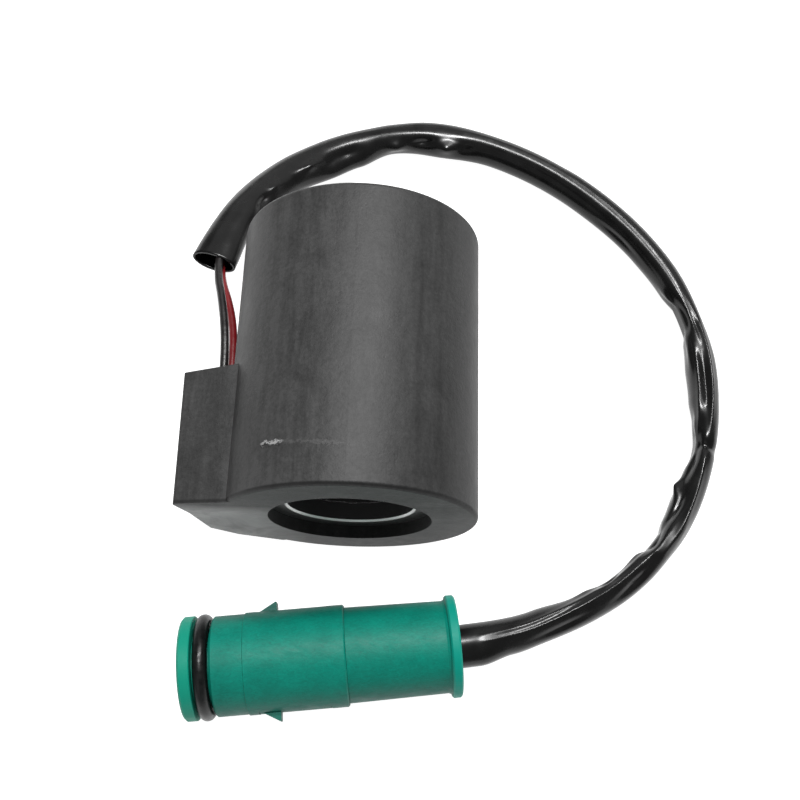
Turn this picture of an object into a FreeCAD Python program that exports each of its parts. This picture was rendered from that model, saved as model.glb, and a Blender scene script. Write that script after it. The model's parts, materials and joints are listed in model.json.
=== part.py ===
"""Solenoid coil for a hydraulic cartridge valve, with two leads, a loose sleeve and a round sealed plug.

Millimetres. The origin is on the bore's axis in the lower end face. +Y runs along the bore from that face
into the coil, and +Z is up. The coil lies on its side on the plane REST_Z, with the plug lying beside it.
"""

import FreeCAD, Part
import math
import os

V = FreeCAD.Vector

# Coil body
COIL_R = 23.0
COIL_LEN = 56.0
COIL_EDGE = 0.8
REST_Z = -COIL_R
BORE_R = 11.5
COUNTERBORE_R = 14.7
LIP = 2.5
CAVITY_R = 21.0
GAP = 0.05

# Magnetic circuit and winding
WASHER_T = 4.0
FLUX_TUBE_IN_R = 18.6
FLUX_SLIT = 6.8
SLIT_Z = -0.5
BOBBIN_BARREL_R = 12.9
BOBBIN_FLANGE_R = 18.4
BOBBIN_FLANGE_T = 1.6
WINDING_R = 17.2
TAPE_R = 17.6
TAIL_R = 0.3
TAIL_Y = 10.0
TAIL_BEND = 1.0

# Lead boss: its plan is X, Z pairs in the lower end face, and it leans out by BOSS_LEAN on its way up
BOSS_LEFT_X = -30.6
BOSS_PLAN = [
    (-10.0, 12.0),
    (BOSS_LEFT_X, 7.4),
    (-28.6, 1.2),
    (-26.6, -9.8),
    (-22.0, -14.4),
    (-13.4, -18.6),
    (-10.0, -10.0),
]
BOSS_EDGE = 0.7
BOSS_LEAN = 0.6
BOSS_TOP_INNER = 25.6
BOSS_TOP_OUTER = 24.2

# Leads
LEAD_R = 0.8
CONDUCTOR_R = 0.42
CONDUCTOR_BORE_R = 0.47
LEAD_SHIFT = 1.0
BLACK_EXIT = V(-24.9, 0, 1.2)
RED_EXIT = V(-24.0, 0, -2.2)
LEAD_START_Y = 16.5
CONDUCTOR_START_Y = 13.8
SPLICE_Y = (11.2, 16.2)
SPLICE_R = 1.3
SPLICE_BORE_R = 0.52
SPLICE_SLEEVE_R = 1.66
SPLICE_SLEEVE_Y = (10.6, 18.6)

# Plug, modelled along +X from a point just before its face, then turned and moved into place
PLUG_FRONT = V(-29.81, -25.62, REST_Z + 9.5)
PLUG_TURN = 6.6
CONTACT_Z = 2.3
NOSE_R = 9.3
NOSE_FACE_X = 0.5
NOSE_END = 2.7
GROOVE_R = 6.85
GROOVE_END = 6.1
FRONT_R = 8.95
HOUSING_STEP = 11.95
HOUSING_R = 9.15
HOUSING_END = 30.1
HOUSING_BORE_R = 7.35
SOCKET_R = 5.65
O_RING_SECTION_R = 1.3
O_RING_X = 4.4
CARRIER_START = 2.6
CARRIER_NECK_X = 13.0
CARRIER_END = 21.0
CARRIER_R = 5.2
CARRIER_FLAT_Y = 4.1
KEY_LEN = 2.2
CONTACT_CAVITY_R = 1.75
CONTACT_HOLE_R = 1.3
CONTACT_START = 4.6
CONTACT_R = 1.7
CONTACT_BORE_R = 1.0
CONTACT_BORE_END = 11.2
PLUG_LEAD_END = 17.2
PLUG_CONDUCTOR_END = 13.2
RETAINER_X = (21.1, 23.2)
WIRE_SEAL_X = (23.6, 27.5)
HOLDER_START = 23.3
HOLDER_BORE_R = 6.0
HOLDER_SPIGOT_R = 6.6
HOLDER_SEAT_X = 27.2
FLANGE_X = 48.8
PLUG_LEN = 50.6
FLANGE_R = 9.25
SLEEVE_SEAT_X = 47.3
LEADS_PART_X = 32.0
LEADS_MEET_X = 46.4

# Latch arms
ARM_HALF_WIDTH = 2.0
ARM_FRONT = 14.0
ARM_IN_R = 7.45
ARM_OUT_R = 9.1
HINGE_X = 26.0
HINGE_R = 8.27
KNUCKLE_R = 0.8
SEAT_R = 0.88
ARM_REAR = HINGE_X + 0.75
WINDOW_GAP = 0.15
BARB_HALF_WIDTH = 1.5
BARB_TIP_R = 10.6
BARB_X = (14.5, 17.8)

# Sleeve over the leads
SLEEVE_R = 3.5
SLEEVE_BORE_R = 3.05
BEND_SHARE = 0.45


def plug_point(x, z=0.0):
    """A point x along the plug from PLUG_FRONT and z above its axis, in the part's frame."""
    a = math.radians(PLUG_TURN)
    return PLUG_FRONT + V(x * math.cos(a), x * math.sin(a), z)


# The sleeve's route, from its cut end beside the coil to its seat in the plug
SLEEVE_ROUTE = [
    V(-30.8, 54.0, -5.0),
    V(-27.7, 65.2, -7.6),
    V(-22.0, 76.8, -12.4),
    V(-12.5, 87.8, -17.0),
    V(1.2, 95.0, -19.3),
    V(18.9, 96.4, -19.4),
    V(37.7, 89.6, -19.4),
    V(54.6, 76.9, -19.4),
    V(67.3, 60.2, -19.4),
    V(72.5, 41.9, -19.4),
    V(71.7, 23.9, -19.4),
    V(65.5, 7.3, -19.3),
    V(54.5, -5.7, -18.2),
    V(41.6, -13.6, -15.9),
    plug_point(59.2, -0.3),
    plug_point(SLEEVE_SEAT_X + 0.1),
]


def lead_route(exit_point, free_points, shift):
    """A lead's route: out of the boss, over to the sleeve, along it and into its contact."""
    inside = [p + V(0, 0, shift) for p in SLEEVE_ROUTE[2:-1]]
    return [
        exit_point + V(0, LEAD_START_Y, 0),
        *free_points,
        *inside,
        plug_point(LEADS_MEET_X, shift),
        plug_point(LEADS_PART_X, math.copysign(CONTACT_Z, shift)),
        plug_point(PLUG_LEAD_END, math.copysign(CONTACT_Z, shift)),
    ]


BLACK_ROUTE = lead_route(
    BLACK_EXIT,
    [V(-24.9, 29.5, 1.2), V(-26.4, 41.0, 0.2), V(-29.8, 53.0, -3.6), V(-27.5, 65.2, -6.6)],
    LEAD_SHIFT,
)
RED_ROUTE = lead_route(
    RED_EXIT,
    [V(-24.0, 29.0, -2.2), V(-25.0, 41.0, -3.4), V(-29.8, 53.0, -5.9), V(-27.9, 65.2, -8.6)],
    -LEAD_SHIFT,
)


def cylinder_y(radius, y0, y1, x=0.0, z=0.0):
    return Part.makeCylinder(radius, y1 - y0, V(x, y0, z), V(0, 1, 0))


def ring_y(outer, inner, y0, y1, x=0.0, z=0.0):
    return cylinder_y(outer, y0, y1, x, z).cut(cylinder_y(inner, y0 - 1, y1 + 1, x, z))


def prism_y(plan, y0, y1):
    """A prism along Y over a plan of X, Z pairs."""
    corners = [V(x, y0, z) for x, z in plan]
    return Part.Face(Part.makePolygon(corners + corners[:1])).extrude(V(0, y1 - y0, 0))


def turned(profile):
    """A solid of revolution about X, from X, radius pairs."""
    corners = [V(x, r, 0) for x, r in profile]
    face = Part.Face(Part.makePolygon(corners + corners[:1]))
    return face.revolve(V(0, 0, 0), V(1, 0, 0), 360)


def in_place(shape):
    """A plug piece, moved from the plug's own frame into the part's frame."""
    placed = shape.copy()
    placed.rotate(V(0, 0, 0), V(0, 0, 1), PLUG_TURN)
    placed.translate(PLUG_FRONT)
    return placed


def bent_path(points, bend_radius=None):
    """Straight runs joined by tangent arcs, as a wire, with the arcs' radii and the path's length."""
    edges, radii, start = [], [], points[0]
    for before, corner, after in zip(points, points[1:], points[2:]):
        into, out = (corner - before), (after - corner)
        half_turn = into.getAngle(out) / 2
        reach = BEND_SHARE * min(into.Length, out.Length)
        if bend_radius:
            reach = bend_radius * math.tan(half_turn)
        into.normalize()
        out.normalize()
        first, last = corner - into * reach, corner + out * reach
        radius = reach / math.tan(half_turn)
        inward = (out - into).normalize()
        middle = corner + inward * (radius / math.cos(half_turn) - radius)
        edges += [Part.LineSegment(start, first).toShape(), Part.Arc(first, middle, last).toShape()]
        radii.append(radius)
        start = last
    edges.append(Part.LineSegment(start, points[-1]).toShape())
    return Part.Wire(edges), radii, sum(e.Length for e in edges)


def swept(path, radius):
    """A round rod of that radius along a path."""
    edge = path.Edges[0]
    start, along = edge.valueAt(edge.FirstParameter), edge.tangentAt(edge.FirstParameter)
    profile = Part.Wire([Part.makeCircle(radius, start, along)])
    return Part.Solid(path.makePipeShell([profile], True, False))


def cord(name, points, outer, inner=0.0, bend_radius=None):
    """A rod or tube along a route. It prints the route's radii, its length and how true its volume is."""
    path, radii, length = bent_path(points, bend_radius)
    solid = swept(path, outer)
    if inner:
        solid = solid.cut(swept(path, inner))
    expected = math.pi * (outer**2 - inner**2) * length
    print(
        f"{name}: length {length:.1f}, radii {min(radii):.1f} to {max(radii):.1f}, "
        f"{min(radii) / (2 * outer):.1f} diameters, volume ratio {solid.Volume / expected:.4f}"
    )
    return solid


def tail_route(p):
    """A winding's end: out through the tube's slit, then up into its splice."""
    start_x = -math.sqrt(WINDING_R**2 - p.z**2) - 2 * GAP
    return [V(start_x, TAIL_Y, p.z), V(p.x, TAIL_Y, p.z), V(p.x, SPLICE_Y[0] + 2.0, p.z)]


def splice_pockets():
    """The room that each splice, its lead and its winding tail take in the moulded boss."""
    rooms = []
    for p in (BLACK_EXIT, RED_EXIT):
        y0, y1 = SPLICE_SLEEVE_Y
        rooms.append(cylinder_y(SPLICE_SLEEVE_R + 0.03, y0 - 0.03, y1 + 0.03, p.x, p.z))
        rooms.append(cylinder_y(LEAD_R + GAP, y0, BOSS_TOP_INNER + 2, p.x, p.z))
        rooms.append(swept(bent_path(tail_route(p), TAIL_BEND)[0], TAIL_R + GAP))
    return rooms


def boss():
    """The block on the coil's side that the leads come out of. Its top slopes down to the outside."""
    corners = [V(x, 0, z) for x, z in BOSS_PLAN]
    base = Part.Face(Part.makePolygon(corners + corners[:1]))
    block = base.extrude(V(-BOSS_LEAN, BOSS_TOP_INNER, 0))
    upright = [e for e in block.Edges if e.BoundBox.YLength > 10 and e.BoundBox.XMax < -13]
    block = block.makeFillet(BOSS_EDGE, upright)
    left, right, top = BOSS_LEFT_X - 2, -21, BOSS_TOP_INNER + 2
    outline = [(left, BOSS_TOP_OUTER), (right, BOSS_TOP_INNER), (right, top), (left, top)]
    slope = [V(x, y, -30) for x, y in outline]
    return block.cut(Part.Face(Part.makePolygon(slope + slope[:1])).extrude(V(0, 0, 60)))


def coil_encapsulation():
    """The moulded body: a round shell with a lip at each end, and the boss that holds the splices."""
    body = cylinder_y(COIL_R, 0, COIL_LEN)
    rims = [e for e in body.Edges if isinstance(e.Curve, Part.Circle)]
    body = body.makeFillet(COIL_EDGE, rims)
    body = body.fuse(boss())
    tools = [
        cylinder_y(COUNTERBORE_R, -1, LIP),
        cylinder_y(COUNTERBORE_R, COIL_LEN - LIP, COIL_LEN + 1),
        cylinder_y(CAVITY_R, LIP, COIL_LEN - LIP),
    ]
    for tool in tools + splice_pockets():
        body = body.cut(tool)
    return body.removeSplitter()


def flux_washer(y0):
    """A steel pole ring, with a small chamfer at its bore."""
    ring = ring_y(CAVITY_R - GAP, BORE_R, y0, y0 + WASHER_T)
    bore_edges = [
        e for e in ring.Edges if isinstance(e.Curve, Part.Circle) and abs(e.Curve.Radius - BORE_R) < 1e-6
    ]
    return ring.makeChamfer(0.4, bore_edges)


def flux_tube():
    """The rolled steel tube between the pole rings, with the slit that its seam leaves."""
    y0, y1 = LIP + WASHER_T, COIL_LEN - LIP - WASHER_T
    tube = ring_y(CAVITY_R - GAP, FLUX_TUBE_IN_R, y0, y1)
    corner = V(-CAVITY_R - 5, y0 - 1, SLIT_Z - FLUX_SLIT / 2)
    slit = Part.makeBox(CAVITY_R, y1 - y0 + 2, FLUX_SLIT, corner)
    return tube.cut(slit)


def bobbin():
    """The spool: a thin barrel with a flange at each end."""
    y0, y1 = LIP + WASHER_T, COIL_LEN - LIP - WASHER_T
    barrel = cylinder_y(BOBBIN_BARREL_R, y0, y1)
    lower = cylinder_y(BOBBIN_FLANGE_R, y0, y0 + BOBBIN_FLANGE_T)
    upper = cylinder_y(BOBBIN_FLANGE_R, y1 - BOBBIN_FLANGE_T, y1)
    return barrel.fuse([lower, upper]).cut(cylinder_y(BORE_R, y0 - 1, y1 + 1)).removeSplitter()


def winding_span():
    y0 = LIP + WASHER_T + BOBBIN_FLANGE_T
    return y0 + GAP, COIL_LEN - y0 - GAP


def winding():
    return ring_y(WINDING_R, BOBBIN_BARREL_R + GAP, *winding_span())


def winding_tape():
    """The tape round the winding, with a small hole for each winding tail."""
    tape = ring_y(TAPE_R, WINDING_R + GAP, *winding_span())
    for p in (BLACK_EXIT, RED_EXIT):
        tape = tape.cut(Part.makeCylinder(TAIL_R + GAP, 12, V(-24, TAIL_Y, p.z), V(1, 0, 0)))
    return tape


def splice(p):
    """A crimped barrel that joins a winding tail to a lead's conductor."""
    return ring_y(SPLICE_R, SPLICE_BORE_R, *SPLICE_Y, p.x, p.z)


def splice_sleeve(p):
    """The insulation shrunk over a splice and the end of its lead."""
    y0, y1 = SPLICE_SLEEVE_Y
    sleeve = cylinder_y(SPLICE_SLEEVE_R, y0, y1, p.x, p.z)
    sleeve = sleeve.cut(cylinder_y(SPLICE_R + 0.03, SPLICE_Y[0] - 0.1, SPLICE_Y[1] + 0.1, p.x, p.z))
    return sleeve.cut(cylinder_y(LEAD_R + GAP, y0 - 1, y1 + 1, p.x, p.z))


def conductor_route(points):
    """A lead's route, run on at both ends by its bared conductor."""
    side = math.copysign(CONTACT_Z, points[-1].z - PLUG_FRONT.z)
    first = V(points[0].x, CONDUCTOR_START_Y, points[0].z)
    return [first, *points[1:-1], plug_point(PLUG_CONDUCTOR_END, side)]


def side_block(side, x0, x1, r0, r1, half_width):
    """A block on one side of the plug: x0 to x1 along it, r0 to r1 out from its axis."""
    y0 = r0 if side > 0 else -r1
    return Part.makeBox(x1 - x0, r1 - r0, 2 * half_width, V(x0, y0, -half_width))


def hinge_round(side, radius, half_width):
    return Part.makeCylinder(radius, 2 * half_width, V(HINGE_X, side * HINGE_R, -half_width), V(0, 0, 1))


def latch_window(side):
    """The opening in the housing's wall that one latch arm fills, with a round seat for the arm's root."""
    half = ARM_HALF_WIDTH + WINDOW_GAP
    opening = side_block(side, ARM_FRONT - WINDOW_GAP, HINGE_X, 6, 11, half)
    behind_root = side_block(side, HINGE_X, HINGE_X + SEAT_R, HINGE_R, 11, half)
    return opening.fuse([behind_root, hinge_round(side, SEAT_R, half)])


def latch_arm(side):
    """A spring arm in the housing's wall, with a round root and a barb near its free end."""
    wall = Part.makeCylinder(ARM_OUT_R, ARM_REAR - ARM_FRONT, V(ARM_FRONT, 0, 0), V(1, 0, 0))
    wall = wall.cut(Part.makeCylinder(ARM_IN_R, HOUSING_END, V(0, 0, 0), V(1, 0, 0)))
    arm = wall.common(side_block(side, 0, 40, 0, 12, ARM_HALF_WIDTH))
    arm = arm.cut(side_block(side, HINGE_X - KNUCKLE_R, HINGE_X + 2, 0, HINGE_R, 2 * ARM_HALF_WIDTH))
    knuckle = hinge_round(side, KNUCKLE_R, ARM_HALF_WIDTH)
    knuckle = knuckle.common(side_block(side, 0, 40, 0, HINGE_R + 0.2, ARM_HALF_WIDTH))
    x0, x1 = BARB_X
    outline = [(x0, 8.0), (x0, 8.95), (x1 - 0.35, BARB_TIP_R), (x1 - 0.1, BARB_TIP_R), (x1, 8.0)]
    corners = [V(x, side * y, -BARB_HALF_WIDTH) for x, y in outline]
    barb = Part.Face(Part.makePolygon(corners + corners[:1])).extrude(V(0, 0, 2 * BARB_HALF_WIDTH))
    return in_place(arm.fuse([knuckle, barb]).removeSplitter())


def plug_housing():
    """The plug's front shell: nose ring, seal groove, body, and a window for each latch arm."""
    shell = turned(
        [
            (NOSE_FACE_X, SOCKET_R + 0.45),
            (NOSE_FACE_X, NOSE_R - 0.4),
            (NOSE_FACE_X + 0.4, NOSE_R),
            (NOSE_END - 0.15, NOSE_R),
            (NOSE_END, NOSE_R - 0.15),
            (NOSE_END, GROOVE_R),
            (GROOVE_END, GROOVE_R),
            (GROOVE_END, FRONT_R - 0.3),
            (GROOVE_END + 0.3, FRONT_R),
            (HOUSING_STEP, FRONT_R),
            (HOUSING_STEP + 0.1, HOUSING_R),
            (HOUSING_END - 0.25, HOUSING_R),
            (HOUSING_END, HOUSING_R - 0.25),
            (HOUSING_END, HOUSING_BORE_R),
            (HOUSING_STEP, HOUSING_BORE_R),
            (HOUSING_STEP, SOCKET_R),
            (NOSE_FACE_X + 0.45, SOCKET_R),
        ]
    )
    for side in (1, -1):
        shell = shell.cut(latch_window(side))
    return in_place(shell)


def face_o_ring():
    """The seal in the nose's groove."""
    radius = GROOVE_R + GAP + O_RING_SECTION_R
    return in_place(Part.makeTorus(radius, O_RING_SECTION_R, V(O_RING_X, 0, 0), V(1, 0, 0)))


def contact_carrier():
    """The insulator that holds both contacts, with flats that leave the latch arms room to move."""
    body = turned(
        [
            (CARRIER_START, 0),
            (CARRIER_START, SOCKET_R - GAP),
            (HOUSING_STEP + GAP, SOCKET_R - GAP),
            (HOUSING_STEP + GAP, HOUSING_BORE_R - GAP),
            (CARRIER_NECK_X, HOUSING_BORE_R - GAP),
            (CARRIER_NECK_X, CARRIER_R),
            (CARRIER_END, CARRIER_R),
            (CARRIER_END, 0),
        ]
    )
    for side in (1, -1):
        corner = V(CARRIER_NECK_X, CARRIER_FLAT_Y if side > 0 else -CARRIER_FLAT_Y - 4, -10)
        body = body.cut(Part.makeBox(CARRIER_END, 4, 20, corner))
        z = side * CONTACT_Z
        body = body.cut(Part.makeCylinder(CONTACT_HOLE_R, 6, V(CARRIER_START - 1, 0, z), V(1, 0, 0)))
        body = body.cut(Part.makeCylinder(CONTACT_CAVITY_R, 30, V(CONTACT_START - GAP, 0, z), V(1, 0, 0)))
        mouth = V(CARRIER_START, 0, z)
        body = body.cut(Part.makeCone(CONTACT_HOLE_R + 0.5, CONTACT_HOLE_R, 0.5, mouth, V(1, 0, 0)))
    key = Part.makeBox(KEY_LEN, 1.6, 1.2, V(CARRIER_START - KEY_LEN + 0.5, SOCKET_R - 2.4, -0.6))
    return in_place(body.fuse(key).removeSplitter())


def contact(side):
    """A turned socket contact: barrel, waist, conductor crimp and insulation grip."""
    body = turned(
        [
            (CONTACT_START, CONTACT_BORE_R + 0.25),
            (CONTACT_START, CONTACT_R - 0.2),
            (CONTACT_START + 0.2, CONTACT_R),
            (PLUG_CONDUCTOR_END - 1.6, CONTACT_R),
            (PLUG_CONDUCTOR_END - 1.0, 1.0),
            (PLUG_LEAD_END - 0.6, 1.0),
            (PLUG_LEAD_END - 0.2, 1.3),
            (PLUG_LEAD_END + 2.4, 1.3),
            (PLUG_LEAD_END + 2.4, LEAD_R + GAP),
            (PLUG_LEAD_END - 0.05, LEAD_R + GAP),
            (PLUG_LEAD_END - 0.05, CONDUCTOR_R + GAP),
            (PLUG_CONDUCTOR_END - 0.1, CONDUCTOR_R + GAP),
            (PLUG_CONDUCTOR_END - 0.1, 0),
            (CONTACT_BORE_END, 0),
            (CONTACT_BORE_END, CONTACT_BORE_R),
            (CONTACT_START + 0.25, CONTACT_BORE_R),
        ]
    )
    return in_place(body.translated(V(0, 0, side * CONTACT_Z)))


def drilled_disc(x_span, radius, hole_r):
    """A round plate or seal with a hole for each lead."""
    x0, x1 = x_span
    disc = Part.makeCylinder(radius, x1 - x0, V(x0, 0, 0), V(1, 0, 0))
    for side in (1, -1):
        disc = disc.cut(Part.makeCylinder(hole_r, x1 - x0 + 2, V(x0 - 1, 0, side * CONTACT_Z), V(1, 0, 0)))
    return disc


def wire_seal():
    """The rear seal, with three ribs round it."""
    x0, x1 = WIRE_SEAL_X
    seal = drilled_disc(WIRE_SEAL_X, HOLDER_BORE_R - GAP, LEAD_R + GAP)
    ribs = 3
    pitch = (x1 - x0) / ribs
    for i in range(1, ribs):
        x = x0 + i * pitch
        top = HOLDER_BORE_R + 1
        seal = seal.cut(turned([(x - 0.3, top), (x + 0.3, top), (x, HOLDER_BORE_R - 0.6)]))
    return in_place(seal)


def rear_holder():
    """The plug's rear shell: it holds the wire seal, and its end flange takes the sleeve."""
    body = turned(
        [
            (HOLDER_START, HOLDER_BORE_R),
            (HOLDER_START, HOLDER_SPIGOT_R),
            (HOLDER_SEAT_X, HOLDER_SPIGOT_R),
            (HOLDER_SEAT_X, HOUSING_BORE_R - GAP),
            (HOUSING_END + GAP, HOUSING_BORE_R - GAP),
            (HOUSING_END + GAP, 8.6),
            (FLANGE_X - 0.6, 8.32),
            (FLANGE_X - 0.15, 8.5),
            (FLANGE_X, 8.75),
            (FLANGE_X, FLANGE_R - 0.3),
            (FLANGE_X + 0.3, FLANGE_R),
            (PLUG_LEN - 0.3, FLANGE_R),
            (PLUG_LEN, FLANGE_R - 0.3),
            (PLUG_LEN, SLEEVE_R + 0.4),
            (PLUG_LEN - 0.3, SLEEVE_R + 0.1),
            (SLEEVE_SEAT_X, SLEEVE_R + 0.1),
            (SLEEVE_SEAT_X, SLEEVE_BORE_R),
            (SLEEVE_SEAT_X - 1.8, SLEEVE_BORE_R),
            (SLEEVE_SEAT_X - 3.8, HOLDER_BORE_R),
        ]
    )
    return in_place(body)


def parts():
    """Every sub-part, by the name of its node."""
    made = {
        "coil_encapsulation": coil_encapsulation(),
        "lower_flux_washer": flux_washer(LIP),
        "upper_flux_washer": flux_washer(COIL_LEN - LIP - WASHER_T),
        "flux_tube": flux_tube(),
        "bobbin": bobbin(),
        "copper_winding": winding(),
        "winding_tape": winding_tape(),
        "protective_sleeve": cord("sleeve", SLEEVE_ROUTE, SLEEVE_R, SLEEVE_BORE_R),
        "plug_housing": plug_housing(),
        "nose_o_ring": face_o_ring(),
        "contact_carrier": contact_carrier(),
        "contact_retainer": in_place(drilled_disc(RETAINER_X, CARRIER_R, LEAD_R + 0.1)),
        "wire_seal": wire_seal(),
        "rear_holder": rear_holder(),
        "inner_latch_arm": latch_arm(1),
        "outer_latch_arm": latch_arm(-1),
    }
    leads = (("black", BLACK_EXIT, BLACK_ROUTE, 1), ("red", RED_EXIT, RED_ROUTE, -1))
    for colour, exit_point, route, side in leads:
        made[f"{colour}_lead_insulation"] = cord(f"{colour} lead", route, LEAD_R, CONDUCTOR_BORE_R)
        made[f"{colour}_lead_conductor"] = cord(f"{colour} core", conductor_route(route), CONDUCTOR_R)
        tail = cord(f"{colour} tail", tail_route(exit_point), TAIL_R, bend_radius=TAIL_BEND)
        made[f"{colour}_winding_tail"] = tail
        made[f"{colour}_splice_barrel"] = splice(exit_point)
        made[f"{colour}_splice_sleeve"] = splice_sleeve(exit_point)
        made[f"{colour}_socket_contact"] = contact(side)
    return made


def main():
    os.makedirs("parts", exist_ok=True)
    for name, shape in parts().items():
        if not shape.isValid() or not shape.Solids:
            print(f"BAD {name}: valid {shape.isValid()}, solids {len(shape.Solids)}")
        if len(shape.Solids) > 1:
            print(f"NOTE {name} has {len(shape.Solids)} solids")
        solid = shape.Solids[0] if len(shape.Solids) == 1 else Part.makeCompound(shape.Solids)
        solid.exportStep(os.path.join("parts", f"{name}.step"))


main()
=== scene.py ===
"""Looks of a cartridge valve's solenoid coil, with its leads, sleeve and plug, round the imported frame."""

import json
import math

import bpy
import numpy as np
from mathutils import Matrix, Vector


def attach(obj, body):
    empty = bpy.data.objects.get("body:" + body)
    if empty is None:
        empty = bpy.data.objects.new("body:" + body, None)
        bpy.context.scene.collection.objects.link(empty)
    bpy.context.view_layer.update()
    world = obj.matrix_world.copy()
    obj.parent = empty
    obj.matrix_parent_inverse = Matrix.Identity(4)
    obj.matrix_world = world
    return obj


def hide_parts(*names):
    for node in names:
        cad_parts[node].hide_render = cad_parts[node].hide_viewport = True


MM = 0.001

# The coil, the plug and the leads as the frame has them, and the surface that they rest on
COIL_R = 23.0
BORE_R = 11.5
COUNTERBORE_R = 14.7
FLOOR_Z = -COIL_R
PLUG_AXIS_UP = 9.5
PLUG_FRONT = Vector((-29.81, -25.62, FLOOR_Z + PLUG_AXIS_UP))
PLUG_TURN = math.radians(6.6)
PLUG_NOSE_END = 2.7
PLUG_FLANGE_X = 48.8
CONTACT_Z = 2.3
LEAD_R = 0.8
LEAD_SHIFT = 1.0
LEAD_STEP = 1.0
SLEEVE_SEAT_X = 47.3

# The view
VIEW_TILT = math.radians(20.81)
VIEW_SWING = math.radians(-0.45)
VIEW_ROLL = math.radians(1.82)
VIEW_TARGET = Vector((8.33, 23.32, 0.0))
VIEW_DISTANCE = 183.2
VIEW_LENS = 43.84

# The sleeve: it can't be pressed in further than the leads inside it let it
SLEEVE_STEP = 0.5
SLEEVE_SIDES = 112
SLEEVE_WALL = 0.45
SLEEVE_SLACK = 0.03
SLEEVE_LEAST = LEAD_R + SLEEVE_WALL + SLEEVE_SLACK
SLEEVE_LIFT = 0.03
DENT_FALLOFF = 0.8
FOLD_FALLOFF = 1.5

# The rubbed line on the coil's front: how far up the coil it is where x is 0, and its slope
RUB_Y = 6.8
RUB_SLOPE = 0.085

# The stage, in metres, and each light's direction, distance, size and power
FLOOR_HALF = 1.5
FLOOR_GAP = 0.00005
LIGHTS = {
    "key_near": ((0.02, 0.2, 1.0), 0.7, (0.08, 0.06), 5.0),
    "key_far": ((0.32, 0.46, 0.9), 0.75, (0.08, 0.06), 3.5),
    "back_panel": ((0.3, 1.0, 0.55), 0.8, (1.2, 0.5), 1.1),
    "front_fill": ((-0.4, -1.0, 0.7), 0.9, (0.7, 0.5), 0.8),
}

# Sockets of the colour mix node: its two colours and its result
MIX_LOW = 6
MIX_HIGH = 7
MIX_RESULT = 2

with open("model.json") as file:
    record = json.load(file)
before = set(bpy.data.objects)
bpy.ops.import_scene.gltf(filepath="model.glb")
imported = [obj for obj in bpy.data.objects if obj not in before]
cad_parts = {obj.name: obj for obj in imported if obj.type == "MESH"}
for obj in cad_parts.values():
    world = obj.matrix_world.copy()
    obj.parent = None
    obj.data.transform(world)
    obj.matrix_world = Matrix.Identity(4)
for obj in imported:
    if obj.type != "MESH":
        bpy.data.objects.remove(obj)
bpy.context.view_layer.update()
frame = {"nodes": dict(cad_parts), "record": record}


def plug_point(x, z=0.0):
    """A point x behind the plug's front face and z above its axis, in millimetres."""
    along = Vector((math.cos(PLUG_TURN), math.sin(PLUG_TURN), 0.0))
    return PLUG_FRONT + along * x + Vector((0, 0, z))


SLEEVE_ROUTE = [
    Vector((-30.8, 54.0, -5.0)),
    Vector((-27.7, 65.2, -7.6)),
    Vector((-22.0, 76.8, -12.4)),
    Vector((-12.5, 87.8, -17.0)),
    Vector((1.2, 95.0, -19.3)),
    Vector((18.9, 96.4, -19.4)),
    Vector((37.7, 89.6, -19.4)),
    Vector((54.6, 76.9, -19.4)),
    Vector((67.3, 60.2, -19.4)),
    Vector((72.5, 41.9, -19.4)),
    Vector((71.7, 23.9, -19.4)),
    Vector((65.5, 7.3, -19.3)),
    Vector((54.5, -5.7, -18.2)),
    Vector((41.6, -13.6, -15.9)),
    plug_point(59.2, -0.3),
    plug_point(SLEEVE_SEAT_X + 0.1),
]


def lead_route(start, free_points, shift):
    """A lead's route: out of the boss, over to the sleeve, along it and into its contact."""
    side = math.copysign(CONTACT_Z, shift)
    inside = [p + Vector((0, 0, shift)) for p in SLEEVE_ROUTE[2:-1]]
    contact_end = [plug_point(46.4, shift), plug_point(32.0, side), plug_point(17.2, side)]
    return [Vector(start)] + [Vector(p) for p in free_points] + inside + contact_end


BLACK_ROUTE = lead_route(
    (-24.9, 16.5, 1.2),
    [(-24.9, 29.5, 1.2), (-26.4, 41.0, 0.2), (-29.8, 53.0, -3.6), (-27.5, 65.2, -6.6)],
    LEAD_SHIFT,
)
RED_ROUTE = lead_route(
    (-24.0, 16.5, -2.2),
    [(-24.0, 29.0, -2.2), (-25.0, 41.0, -3.4), (-29.8, 53.0, -5.9), (-27.9, 65.2, -8.6)],
    -LEAD_SHIFT,
)


# ---------------------------------------------------------------- materials


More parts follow.
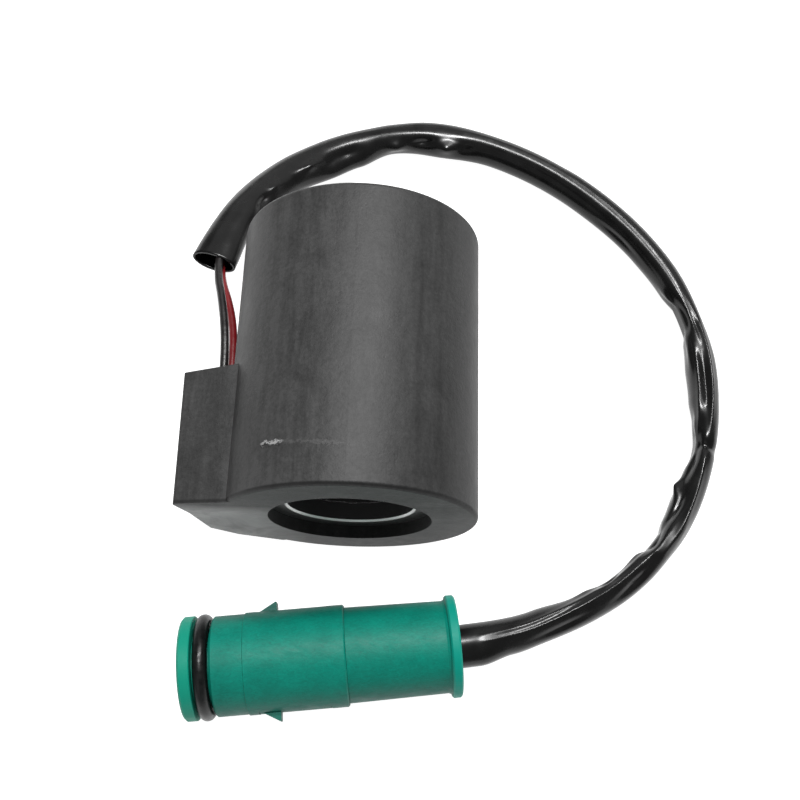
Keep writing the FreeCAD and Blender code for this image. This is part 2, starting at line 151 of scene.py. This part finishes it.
class Look:
    """A node material in which positions are millimetres of the part's frame."""

    def __init__(self, name):
        self.material = bpy.data.materials.new(name)
        self.material.use_nodes = True
        self.tree = self.material.node_tree
        self.bsdf = self.tree.nodes["Principled BSDF"]
        coords = self.node("ShaderNodeTexCoord")
        scale = self.node("ShaderNodeVectorMath", operation="SCALE")
        self.link(coords.outputs["Object"], scale.inputs[0])
        scale.inputs["Scale"].default_value = 1000.0
        self.place = scale.outputs[0]
        self.normal = None

    def node(self, kind, **settings):
        made = self.tree.nodes.new(kind)
        for key, value in settings.items():
            setattr(made, key, value)
        return made

    def link(self, output, socket):
        self.tree.links.new(output, socket)

    def feed(self, socket, value):
        """Link a node's output into a socket, or set the socket to a plain value."""
        if isinstance(value, bpy.types.NodeSocket):
            self.link(value, socket)
        else:
            socket.default_value = value

    def set(self, **values):
        for key, value in values.items():
            self.feed(self.bsdf.inputs[key.replace("_", " ")], value)
        return self

    def stretched(self, factors):
        made = self.node("ShaderNodeVectorMath", operation="MULTIPLY")
        self.link(self.place, made.inputs[0])
        made.inputs[1].default_value = factors
        return made.outputs[0]

    def noise(self, size, detail=4.0, rough=0.55, stretch=(1, 1, 1), distortion=0.0):
        """Smooth noise whose features are about that many millimetres across."""
        made = self.node("ShaderNodeTexNoise")
        self.link(self.stretched(stretch), made.inputs["Vector"])
        made.inputs["Scale"].default_value = 1.0 / size
        made.inputs["Detail"].default_value = detail
        made.inputs["Roughness"].default_value = rough
        made.inputs["Distortion"].default_value = distortion
        return made.outputs["Fac"]

    def pits(self, size):
        """Distance from the middle of scattered cells about that many millimetres apart."""
        made = self.node("ShaderNodeTexVoronoi")
        self.link(self.place, made.inputs["Vector"])
        made.inputs["Scale"].default_value = 1.0 / size
        return made.outputs["Distance"]

    def span(self, value, low, high, to_low=0.0, to_high=1.0):
        """Map low..high to to_low..to_high, held at both ends."""
        made = self.node("ShaderNodeMapRange")
        self.feed(made.inputs["Value"], value)
        for key, number in zip(("From Min", "From Max", "To Min", "To Max"), (low, high, to_low, to_high)):
            made.inputs[key].default_value = number
        return made.outputs["Result"]

    def math(self, operation, a, b=0.0):
        made = self.node("ShaderNodeMath", operation=operation)
        self.feed(made.inputs[0], a)
        self.feed(made.inputs[1], b)
        return made.outputs[0]

    def product(self, value, *factors):
        for factor in factors:
            value = self.math("MULTIPLY", value, factor)
        return value

    def band(self, value, rise, fall):
        """Rise from 0 to 1 over one stretch of the value, and fall back over a later one."""
        return self.product(self.span(value, *rise), self.span(value, *fall, 1.0, 0.0))

    def mix(self, amount, low, high):
        """Blend two colours, each a colour tuple or a node's output."""
        made = self.node("ShaderNodeMix", data_type="RGBA")
        self.feed(made.inputs["Factor"], amount)
        for socket, colour in ((MIX_LOW, low), (MIX_HIGH, high)):
            self.feed(made.inputs[socket], (*colour, 1.0) if isinstance(colour, tuple) else colour)
        return made.outputs[MIX_RESULT]

    def axis(self, name):
        made = self.node("ShaderNodeSeparateXYZ")
        self.link(self.place, made.inputs[0])
        return made.outputs[name]

    def bore_radius(self):
        """Distance from the bore's axis, in millimetres."""
        x, z = self.axis("X"), self.axis("Z")
        return self.math("SQRT", self.math("ADD", self.product(x, x), self.product(z, z)))

    def bump(self, height, depth):
        """Raise the surface by height times depth millimetres. Further calls add to it."""
        made = self.node("ShaderNodeBump")
        made.inputs["Distance"].default_value = depth * MM
        made.inputs["Strength"].default_value = 1.0
        self.link(height, made.inputs["Height"])
        if self.normal is not None:
            self.link(self.normal, made.inputs["Normal"])
        self.normal = made.outputs["Normal"]
        self.link(self.normal, self.bsdf.inputs["Normal"])
        return self


def tinted(colour, factor):
    return tuple(c * factor for c in colour)


def moulded(name, colour, rough, depth=0.02, vary=0.12, specular=0.5):
    """Moulded plastic: fine grain, faint flow marks and uneven gloss."""
    look = Look(name)
    flow = look.noise(9.0, detail=3.0, distortion=1.2)
    grain = look.noise(0.18, detail=3.0, rough=0.6)
    look.set(
        Base_Color=look.mix(flow, tinted(colour, 1 - vary), tinted(colour, 1 + vary)),
        Roughness=look.span(look.noise(3.5), 0.3, 0.7, rough - 0.06, rough + 0.07),
        Specular_IOR_Level=specular,
    )
    return look.bump(grain, depth)


def coil_tone_and_painted_light(look, x, streak, cloud):
    """How light the moulding is: streaky, cloudy and specked, with painted light paler toward the boss and
    painted shade toward the right side and on the boss.
    """
    speck = look.noise(0.7, detail=4.0, rough=0.7)
    return look.product(
        look.span(streak, 0.3, 0.7, 0.68, 1.32),
        look.span(cloud, 0.3, 0.7, 0.75, 1.25),
        look.span(speck, 0.3, 0.7, 0.76, 1.24),
        # Painted light and shade by position: paler toward the boss, darker toward the right side
        look.span(x, -20.0, 8.0, 1.45, 0.85),
        # Painted shade: darker on the boss
        look.span(x, -22.5, -20.5, 0.68, 1.0),
    )


def coil_recess_shade_and_rim_line(look, y):
    """How dark the moulding is painted: painted shade all over the recess, and a thin dark line round the
    rounded edge.
    """
    radius = look.bore_radius()
    # Painted shade over the counterbore recess
    recess = look.product(
        look.span(radius, COUNTERBORE_R + 0.05, COUNTERBORE_R + 0.25, 1.0, 0.0),
        look.span(y, 2.6, 2.8, 1.0, 0.0),
    )
    rim = look.product(look.span(radius, COIL_R - 1.0, COIL_R - 0.8), look.band(y, (0.05, 0.2), (0.5, 0.8)))
    return look.math("MAXIMUM", look.product(recess, 0.35), look.product(rim, 0.8))


def painted_light_patch(look, x, y, z, cloud):
    """How pale the flat end is painted, as painted light: in clouds, most toward the boss and none near the
    top.
    """
    return look.product(
        look.span(x, -17.0, -8.0, 1.0, 0.1),
        look.span(y, 0.05, 0.15, 1.0, 0.0),
        look.span(z, 2.5, 7.5, 1.0, 0.0),
        look.span(cloud, 0.35, 0.6, 0.35, 1.0),
    )


def rubbed_line(look, x, y, z):
    """How rubbed the coil's front is along one ragged line, and how dark the painted shadow just beside that
    line is.
    """
    wobble = look.span(look.noise(1.1, detail=6.0, rough=0.75), 0.3, 0.7, -0.6, 0.6)
    slanted = look.math("ADD", look.math("ADD", y, wobble), look.product(x, RUB_SLOPE))
    off_line = look.math("ABSOLUTE", look.math("SUBTRACT", slanted, RUB_Y))
    reach = look.product(
        look.span(x, -14.7, -14.2),
        look.span(x, -11.4, -10.4, 1.0, 0.07),
        look.span(x, -1.0, 2.0, 1.0, 0.0),
        look.span(z, 4.0, 8.0),
    )
    rub = look.product(look.span(off_line, 0.1, 0.35, 1.0, 0.0), reach)
    # Painted shadow just below the rubbed line
    dark = look.product(look.band(slanted, (RUB_Y - 0.7, RUB_Y - 0.4), (RUB_Y - 0.25, RUB_Y - 0.1)), reach)
    return rub, dark


def coil_moulding():
    """The coil's charcoal moulding: satin grain, streaks, painted light and shade by position, painted shade
    in the recess, a thin dark line round the rim, a painted light patch on the flat end, and a rubbed line
    with a painted shadow beside it.
    """
    colour = (0.021, 0.021, 0.021)
    look = Look("coil_moulding")
    x, y, z = look.axis("X"), look.axis("Y"), look.axis("Z")
    streak = look.noise(2.0, detail=5.0, rough=0.65, stretch=(1.0, 0.12, 1.0))
    cloud = look.noise(11.0, detail=6.0, rough=0.6, distortion=0.8)
    # Tone with painted light and shade by position
    tone_with_painted_light = coil_tone_and_painted_light(look, x, streak, cloud)
    rub, dark = rubbed_line(look, x, y, z)
    body = look.mix(look.span(tone_with_painted_light, 0.4, 1.6), tinted(colour, 0.2), tinted(colour, 1.8))
    # Painted shade in the recess, and a thin dark line round the rim
    body = look.mix(coil_recess_shade_and_rim_line(look, y), body, tinted(colour, 0.08))
    # Painted light: a paler patch on the flat end toward the boss
    body = look.mix(painted_light_patch(look, x, y, z, cloud), body, (0.3, 0.3, 0.3))
    # Painted shadow beside the rubbed line
    body = look.mix(dark, body, tinted(colour, 0.1))
    look.set(
        Base_Color=look.mix(look.product(rub, 0.85), body, (0.32, 0.32, 0.32)),
        Roughness=look.span(look.math("ADD", streak, cloud), 0.7, 1.3, 0.48, 0.64),
        Specular_IOR_Level=look.span(y, 0.05, 0.15, 0.22, 0.32),
    )
    look.bump(look.noise(0.32, detail=3.0), 0.03)
    look.bump(look.span(look.pits(1.3), 0.0, 0.2), 0.02)
    look.bump(rub, 0.12)
    return look.bump(look.noise(5.0, detail=3.0), 0.14)


def along_plug(look):
    """Distance along the plug from its front, in millimetres."""
    x = look.product(look.math("SUBTRACT", look.axis("X"), PLUG_FRONT.x), math.cos(PLUG_TURN))
    y = look.product(look.math("SUBTRACT", look.axis("Y"), PLUG_FRONT.y), math.sin(PLUG_TURN))
    return look.math("ADD", x, y)


def pole_ring():
    """A pole ring: dark coated faces, and a bare chamfer where its bore was turned, painted near white as a
    painted highlight.
    """
    look = Look("pole_ring")
    chamfer_start = (BORE_R + 0.01, BORE_R + 0.05)
    chamfer_end = (BORE_R + 0.3, BORE_R + 0.45)
    # The bare turned chamfer, painted near white: part real bare metal, part painted highlight
    bright = look.band(look.bore_radius(), chamfer_start, chamfer_end)
    wear = look.noise(0.8, detail=5.0)
    look.set(
        Base_Color=look.mix(bright, (0.04, 0.04, 0.04), (0.96, 0.96, 0.95)),
        Metallic=look.product(bright, 0.35),
        Roughness=look.span(wear, 0.3, 0.7, 0.3, 0.46),
        Specular_IOR_Level=0.3,
    )
    return look.bump(wear, 0.02)


def green_plastic():
    """The plug's green nylon, with wiping marks, painted light on top and painted shade lower down, and
    brightest on its nose ring and flange.
    """
    colour = (0.0, 0.136, 0.099)
    look = Look("green_plastic")
    wipe = look.noise(1.3, detail=6.0, rough=0.7, stretch=(0.35, 1.0, 1.0), distortion=1.0)
    cloud = look.noise(5.0, detail=5.0, rough=0.6)
    streak = look.noise(0.6, detail=4.0, rough=0.7, stretch=(0.5, 1.0, 1.0), distortion=2.0)
    tone_with_painted_light = look.product(
        look.span(cloud, 0.3, 0.7, 0.88, 1.1),
        look.span(streak, 0.3, 0.7, 0.8, 1.2),
        # Painted light and shade: paler on top, darker lower down
        look.span(look.axis("Z"), PLUG_FRONT.z, PLUG_FRONT.z + 8.5, 0.55, 1.08),
    )
    body = look.mix(look.span(tone_with_painted_light, 0.5, 1.5), tinted(colour, 0.5), tinted(colour, 1.5))
    along = along_plug(look)
    nose = look.span(along, PLUG_NOSE_END, PLUG_NOSE_END + 0.2, 1.0, 0.0)
    flange = look.span(along, PLUG_FLANGE_X - 0.1, PLUG_FLANGE_X + 0.1)
    body = look.mix(flange, body, (0.0, 0.2, 0.15))
    look.set(
        Base_Color=look.mix(nose, body, (0.002, 0.2, 0.135)),
        Roughness=look.span(wipe, 0.3, 0.7, 0.4, 0.6),
        Specular_IOR_Level=0.16,
    )
    look.bump(look.noise(0.25, detail=2.0), 0.012)
    return look.bump(wipe, 0.04)


def black_vinyl():
    """The sleeve's glossy vinyl, dulled here and there by handling."""
    look = Look("black_vinyl")
    smear = look.noise(4.0, detail=5.0)
    look.set(
        Base_Color=look.mix(smear, (0.002, 0.002, 0.002), (0.007, 0.007, 0.007)),
        Roughness=look.span(smear, 0.3, 0.7, 0.2, 0.3),
        Specular_IOR_Level=0.27,
    )
    return look.bump(look.noise(3.0, detail=2.0), 0.03)


def wire_insulation(name, colour, rough, dusty):
    """A lead's soft vinyl, slightly uneven and dusty."""
    look = Look(name)
    dust = look.span(look.noise(0.9, detail=5.0), 0.5, 0.75)
    look.set(
        Base_Color=look.mix(look.product(dust, dusty), colour, (0.2, 0.17, 0.16)),
        Roughness=look.span(look.noise(1.5), 0.3, 0.7, rough - 0.08, rough + 0.1),
    )
    return look.bump(look.noise(0.5, detail=3.0), 0.05)


def metal(name, colour, rough):
    """Bright metal with fine marks and a little tarnish."""
    look = Look(name)
    marks = look.noise(0.5, detail=5.0)
    tarnish = look.noise(4.0, detail=4.0)
    look.set(
        Base_Color=look.mix(tarnish, tinted(colour, 0.8), colour),
        Metallic=1.0,
        Roughness=look.span(tarnish, 0.3, 0.7, rough - 0.06, rough + 0.1),
    )
    return look.bump(marks, 0.01)


def enamelled_copper():
    """Fine enamelled wire laid in turns side by side."""
    turn_width = 0.28
    look = metal("enamelled_copper", (0.62, 0.22, 0.09), 0.28)
    turns = look.math("SINE", look.product(look.axis("Y"), math.tau / turn_width))
    return look.bump(turns, 0.05)


def rubber(name, colour, rough, specular=0.5):
    """Soft rubber with a faint bloom."""
    look = Look(name)
    bloom = look.noise(1.2, detail=4.0)
    look.set(
        Base_Color=look.mix(bloom, tinted(colour, 0.7), tinted(colour, 1.5)),
        Roughness=look.span(bloom, 0.3, 0.7, rough - 0.1, rough + 0.12),
        Specular_IOR_Level=specular,
    )
    return look.bump(look.noise(0.3, detail=3.0), 0.02)


def paint_cad_nodes(looks):
    """Give every CAD node the look of its slot in the record."""
    for row in frame["record"]["subparts"]:
        piece = frame["nodes"][row["node"]]
        piece.data.materials.clear()
        piece.data.materials.append(looks[row["material_slot"]].material)


# ---------------------------------------------------------------- cords


def nurbs_route(name, points):
    """A smooth curve with the route's points as its control points."""
    curve = bpy.data.curves.new(name, "CURVE")
    curve.dimensions = "3D"
    curve.resolution_u = 24
    spline = curve.splines.new("NURBS")
    spline.points.add(len(points) - 1)
    for point, place in zip(spline.points, points):
        point.co = (*(place * MM), 1.0)
    spline.order_u = 3
    spline.use_endpoint_u = True
    return curve


def put(name, data, look=None):
    """Put new data in the scene as an object, with its look."""
    piece = bpy.data.objects.new(name, data)
    bpy.context.scene.collection.objects.link(piece)
    if look:
        data.materials.append(look.material)
    return piece


def points_along(curve):
    """Points along a curve with no bevel, in millimetres."""
    piece = put(curve.name, curve)
    bpy.context.view_layer.update()
    mesh = bpy.data.meshes.new_from_object(piece)
    line = np.array([v.co[:] for v in mesh.vertices]) / MM
    bpy.data.objects.remove(piece)
    bpy.data.meshes.remove(mesh)
    return line


def evenly(line, step):
    """The line's points, evenly spaced, with their distances from its start."""
    gaps = np.linalg.norm(np.diff(line, axis=0), axis=1)
    run = np.concatenate([[0.0], np.cumsum(gaps)])
    stops = np.linspace(0.0, run[-1], int(round(run[-1] / step)) + 1)
    return np.stack([np.interp(stops, run, line[:, i]) for i in range(3)], axis=1), stops


def smooth_steps(at, stops):
    """Values eased between (distance, value) stops."""
    xs = [s[0] for s in stops]
    ys = [s[1] for s in stops]
    i = np.clip(np.searchsorted(xs, at) - 1, 0, len(xs) - 2)
    x0, x1 = np.array(xs)[i], np.array(xs)[i + 1]
    y0, y1 = np.array(ys)[i], np.array(ys)[i + 1]
    t = np.clip((at - x0) / (x1 - x0), 0, 1)
    return y0 + (y1 - y0) * t * t * (3 - 2 * t)


def wrapped(angle):
    """The angle brought into the half turn on either side of 0."""
    return (angle + np.pi) % (2 * np.pi) - np.pi


# The sleeve's section: pairs of the distance along it and its reach there, first toward the inside of the
# bend, then toward the outside, then upright
SLEEVE_INNER = [
    (0, 4.9),
    (12, 4.0),
    (30, 4.5),
    (42, 5.6),
    (50, 5.0),
    (60, 2.6),
    (72, 4.15),
    (84, 3.4),
    (108, 3.3),
    (126, 2.8),
    (136, 2.4),
    (144, 1.2),
    (150, 2.3),
    (157, 3.0),
    (163, 2.9),
    (168, 2.1),
    (174, 1.6),
    (180, 2.3),
    (186, 2.6),
    (192, 2.2),
    (198, 1.1),
    (204, 2.0),
    (210, 1.95),
    (217, 2.35),
    (228, 3.5),
    (242, 3.7),
    (246, 3.5),
]
SLEEVE_OUTER = [
    (0, 4.25),
    (18, 4.05),
    (30, 4.0),
    (42, 3.6),
    (54, 3.4),
    (60, 3.7),
    (66, 3.95),
    (84, 3.2),
    (98, 3.25),
    (104, 3.5),
    (120, 3.55),
    (132, 3.45),
    (144, 3.05),
    (154, 3.4),
    (165, 3.1),
    (174, 3.1),
    (192, 3.3),
    (198, 3.1),
    (204, 3.2),
    (216, 3.1),
    (228, 2.85),
    (234, 3.2),
    (240, 4.2),
    (243, 4.2),
    (246, 3.5),
]
SLEEVE_HEIGHT = [
    (0, 2.6),
    (6, 2.8),
    (16, 3.2),
    (60, 3.6),
    (120, 3.5),
    (176, 3.9),
    (210, 3.9),
    (236, 3.6),
    (246, 3.5),
]

# Dents: distance along, angle (0 on top, negative inside the bend), depth, length, width and slant.
# A dent with a negative depth stands out as a lump.
DENTS = [
    (19.0, -52, 0.9, 2.6, 16, 0.3),
    (24.0, -38, -0.5, 2.2, 14, 0.2),
    (35.5, -40, -1.1, 3.4, 16, 0.0),
    (41.5, -60, 0.8, 2.4, 22, 0.0),
    (46.5, -50, 0.8, 4.0, 20, 0.0),
    (60.0, -62, -1.5, 2.5, 23, 0.0),
    (66.5, -48, 0.9, 2.6, 16, 0.2),
    (72.5, -60, -1.1, 2.2, 16, 0.0),
    (77.0, -56, 0.6, 2.4, 18, 0.5),
    (120.0, -70, 0.5, 6.0, 14, 0.0),
    (139.0, -58, -0.8, 2.6, 16, 0.5),
    (144.0, -40, 1.3, 3.0, 26, 0.6),
    (144.0, -108, 1.7, 3.4, 50, 0.0),
    (144.0, -152, 1.4, 3.4, 34, 0.0),
    (146.0, 8, 0.5, 5.0, 12, 0.3),
    (153.0, -50, -0.5, 4.0, 14, 0.0),
    (160.0, -4, 0.9, 8.0, 15, 0.1),
    (170.0, -52, -0.5, 3.0, 14, 0.4),
    (174.0, 5, 1.0, 0.9, 46, 0.1),
    (174.0, -108, 1.3, 3.2, 50, 0.0),
    (178.0, -26, 0.9, 4.0, 16, -0.5),
    (184.5, -60, -1.3, 2.0, 14, 0.5),
    (189.0, -22, 1.1, 4.5, 17, -0.3),
    (193.0, 30, -0.4, 4.0, 14, 0.3),
    (197.5, -46, 1.2, 1.7, 26, 0.8),
    (198.0, -108, 1.6, 2.8, 50, 0.0),
    (198.0, -152, 1.2, 2.8, 34, 0.0),
    (202.0, -60, -0.6, 3.0, 18, 0.0),
    (207.0, 26, 0.8, 5.0, 16, 0.4),
    (211.0, -48, 0.8, 2.4, 18, 0.4),
    (217.0, -56, -0.4, 3.0, 16, 0.0),
    (224.0, 30, 0.6, 7.0, 16, 0.2),
]

# Long folds: where each starts and ends, its angle at both, height, and width in degrees
FOLDS = [
    (30.0, 138.0, 15, 9, 0.1, 6),
    (70.0, 136.0, -30, -44, -0.35, 20),
    (146.0, 172.0, 24, 8, 0.5, 8),
    (150.0, 172.0, -24, -34, 0.4, 9),
    (176.0, 200.0, 6, 24, 0.5, 9),
    (198.0, 240.0, -30, -14, 0.35, 8),
    (204.0, 240.0, -8, 4, 0.3, 7),
]


def least_radius(angle):
    """How far in the sleeve can be pressed before it meets the two leads, one above the other in it."""
    across, up = np.abs(np.sin(angle)), np.abs(np.cos(angle))
    flat_side = SLEEVE_LEAST / np.maximum(across, 1e-6)
    round_end = LEAD_SHIFT * up + np.sqrt(np.maximum(SLEEVE_LEAST**2 - (LEAD_SHIFT * across) ** 2, 0.0))
    return np.where(flat_side * up <= LEAD_SHIFT, flat_side, round_end)


def sleeve_radius(at, angle):
    """The sleeve's radius at a distance along it and an angle round it, as arrays."""
    inner, outer = smooth_steps(at, SLEEVE_INNER), smooth_steps(at, SLEEVE_OUTER)
    wide = np.where(np.sin(angle) > 0, outer, inner)
    high = smooth_steps(at, SLEEVE_HEIGHT)
    radius = wide * high / np.sqrt((high * np.sin(angle)) ** 2 + (wide * np.cos(angle)) ** 2)
    for place, degrees, depth, length, width, slant in DENTS:
        along = (at - place) / length
        around = wrapped(angle - math.radians(degrees)) / math.radians(width) - slant * along
        radius -= depth * np.exp(-((along**2 + around**2) ** DENT_FALLOFF))
    for start, end, degrees, to_degrees, height, width in FOLDS:
        t = np.clip((at - start) / (end - start), 0, 1)
        middle = math.radians(degrees) + t * math.radians(to_degrees - degrees)
        fade = np.sin(np.pi * t) ** 0.5 * (at > start) * (at < end)
        around = np.abs(wrapped(angle - middle) / math.radians(width))
        radius += height * fade * np.exp(-(around**FOLD_FALLOFF))
    return np.maximum(radius, least_radius(angle))


def sleeve_mesh(name, line, at):
    """An open tube of rings along the line, shaped by sleeve_radius."""
    ahead = np.gradient(line, axis=0)
    ahead /= np.linalg.norm(ahead, axis=1, keepdims=True)
    outside = np.cross([0.0, 0.0, 1.0], ahead)
    outside /= np.linalg.norm(outside, axis=1, keepdims=True)
    above = np.cross(ahead, outside)
    angles = np.linspace(0, 2 * np.pi, SLEEVE_SIDES, endpoint=False)
    grid_at, grid_angle = np.meshgrid(at, angles, indexing="ij")
    radius = sleeve_radius(grid_at, grid_angle)[..., None]
    upward = np.cos(angles)[None, :, None] * above[:, None, :]
    sideways = np.sin(angles)[None, :, None] * outside[:, None, :]
    points = (line[:, None, :] + radius * (upward + sideways)) * MM
    points[..., 2] = np.maximum(points[..., 2], (FLOOR_Z + SLEEVE_LIFT) * MM)
    rings, sides = grid_at.shape
    faces = []
    for i in range(rings - 1):
        for j in range(sides):
            k = (j + 1) % sides
            faces.append((i * sides + j, (i + 1) * sides + j, (i + 1) * sides + k, i * sides + k))
    mesh = bpy.data.meshes.new(name)
    mesh.from_pydata(points.reshape(-1, 3).tolist(), [], faces)
    mesh.polygons.foreach_set("use_smooth", [True] * len(faces))
    return mesh


def make_sleeve(look):
    """The loose sleeve over both leads, from its cut end beside the coil to the plug's flange."""
    line, at = evenly(points_along(nurbs_route("sleeve_route", SLEEVE_ROUTE)), SLEEVE_STEP)
    sleeve = put("sleeve", sleeve_mesh("sleeve", line, at), look)
    wall = sleeve.modifiers.new("wall", "SOLIDIFY")
    wall.thickness = SLEEVE_WALL * MM
    wall.offset = -1.0
    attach(sleeve, "coil_and_plug")
    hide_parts("protective_sleeve")


def make_lead(colour, points, look):
    """One lead, from its splice in the boss to its contact in the plug."""
    curve = nurbs_route(f"{colour}_lead", points)
    curve.bevel_depth = LEAD_R * MM
    curve.bevel_resolution = 7
    curve.use_fill_caps = True
    _, at = evenly(points_along(nurbs_route("lead_measure", points)), LEAD_STEP)
    lead = put(f"{colour}_lead", curve, look)
    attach(lead, "coil_and_plug")
    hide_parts(f"{colour}_lead_insulation", f"{colour}_lead_conductor")


# ---------------------------------------------------------------- stage


def make_camera():
    """The camera, above the part and a little in front, aimed at a point level with the bore's axis."""
    lean = math.sin(VIEW_TILT)
    back = Vector((lean * math.sin(VIEW_SWING), -lean * math.cos(VIEW_SWING), math.cos(VIEW_TILT)))
    right = Vector((0, 1, 0)).cross(back).normalized()
    up = back.cross(right)
    c, s = math.cos(VIEW_ROLL), math.sin(VIEW_ROLL)
    right, up = right * c + up * s, up * c - right * s
    data = bpy.data.cameras.new("camera")
    data.lens = VIEW_LENS
    data.sensor_width = 36.0
    data.clip_start = 0.01
    camera = bpy.data.objects.new("camera", data)
    turn = Matrix((right, up, back)).transposed().to_4x4()
    camera.matrix_world = Matrix.Translation((VIEW_TARGET + back * VIEW_DISTANCE) * MM) @ turn
    bpy.context.scene.collection.objects.link(camera)
    bpy.context.scene.camera = camera


def make_light(name, direction, distance, size, power):
    """A rectangular soft light that faces the middle of the part."""
    data = bpy.data.lights.new(name, "AREA")
    data.shape = "RECTANGLE"
    data.size, data.size_y = size
    data.energy = power
    light = bpy.data.objects.new(name, data)
    toward = Vector(direction).normalized()
    light.location = VIEW_TARGET * MM + toward * distance
    light.rotation_euler = toward.to_track_quat("Z", "Y").to_euler()
    bpy.context.scene.collection.objects.link(light)


def make_stage():
    """A plain white surface and soft light, brightest from overhead."""
    look = Look("floor")
    look.set(Base_Color=(0.35, 0.35, 0.35, 1), Roughness=0.9)
    look.set(Emission_Color=(1, 1, 1, 1), Emission_Strength=0.98)
    corners = [(-1, -1), (1, -1), (1, 1), (-1, 1)]
    mesh = bpy.data.meshes.new("floor")
    height = FLOOR_Z * MM - FLOOR_GAP
    mesh.from_pydata([(x * FLOOR_HALF, y * FLOOR_HALF, height) for x, y in corners], [], [(0, 1, 2, 3)])
    put("floor", mesh, look)
    world = bpy.data.worlds.new("world")
    world.use_nodes = True
    background = world.node_tree.nodes["Background"]
    background.inputs["Color"].default_value = (1, 1, 1, 1)
    background.inputs["Strength"].default_value = 0.2
    bpy.context.scene.world = world
    for name, settings in LIGHTS.items():
        make_light(name, *settings)


def main():
    """Make every look, the sleeve, both leads and the stage. A look's key is its slot in the record."""
    looks = {
        "coil_moulding": coil_moulding(),
        "plated_steel": pole_ring(),
        "bobbin_plastic": moulded(
            "bobbin_plastic", (0.03, 0.03, 0.03), 0.6, depth=0.01, vary=0.4, specular=0.12
        ),
        "enamelled_copper": enamelled_copper(),
        "tape": moulded("tape", (0.5, 0.33, 0.08), 0.3),
        "tinned_copper": metal("tinned_copper", (0.75, 0.73, 0.7), 0.35),
        "shrink_sleeve": moulded("shrink_sleeve", (0.03, 0.03, 0.03), 0.45),
        "black_wire_insulation": wire_insulation("black_wire_insulation", (0.007, 0.006, 0.006), 0.34, 0.04),
        "red_wire_insulation": wire_insulation("red_wire_insulation", (0.14, 0.004, 0.006), 0.36, 0.07),
        "black_vinyl": black_vinyl(),
        "green_plastic": green_plastic(),
        "black_rubber": rubber("black_rubber", (0.003, 0.0035, 0.0035), 0.34, 0.26),
        "carrier_plastic": moulded("carrier_plastic", (0.03, 0.03, 0.03), 0.4),
        "seal_rubber": rubber("seal_rubber", (0.3, 0.06, 0.02), 0.5),
        "contact_brass": metal("contact_brass", (0.85, 0.6, 0.25), 0.22),
    }
    paint_cad_nodes(looks)
    make_sleeve(looks["black_vinyl"])
    make_lead("black", BLACK_ROUTE, looks["black_wire_insulation"])
    make_lead("red", RED_ROUTE, looks["red_wire_insulation"])
    make_stage()
    make_camera()
    bpy.context.scene.view_settings.view_transform = "Standard"


main()
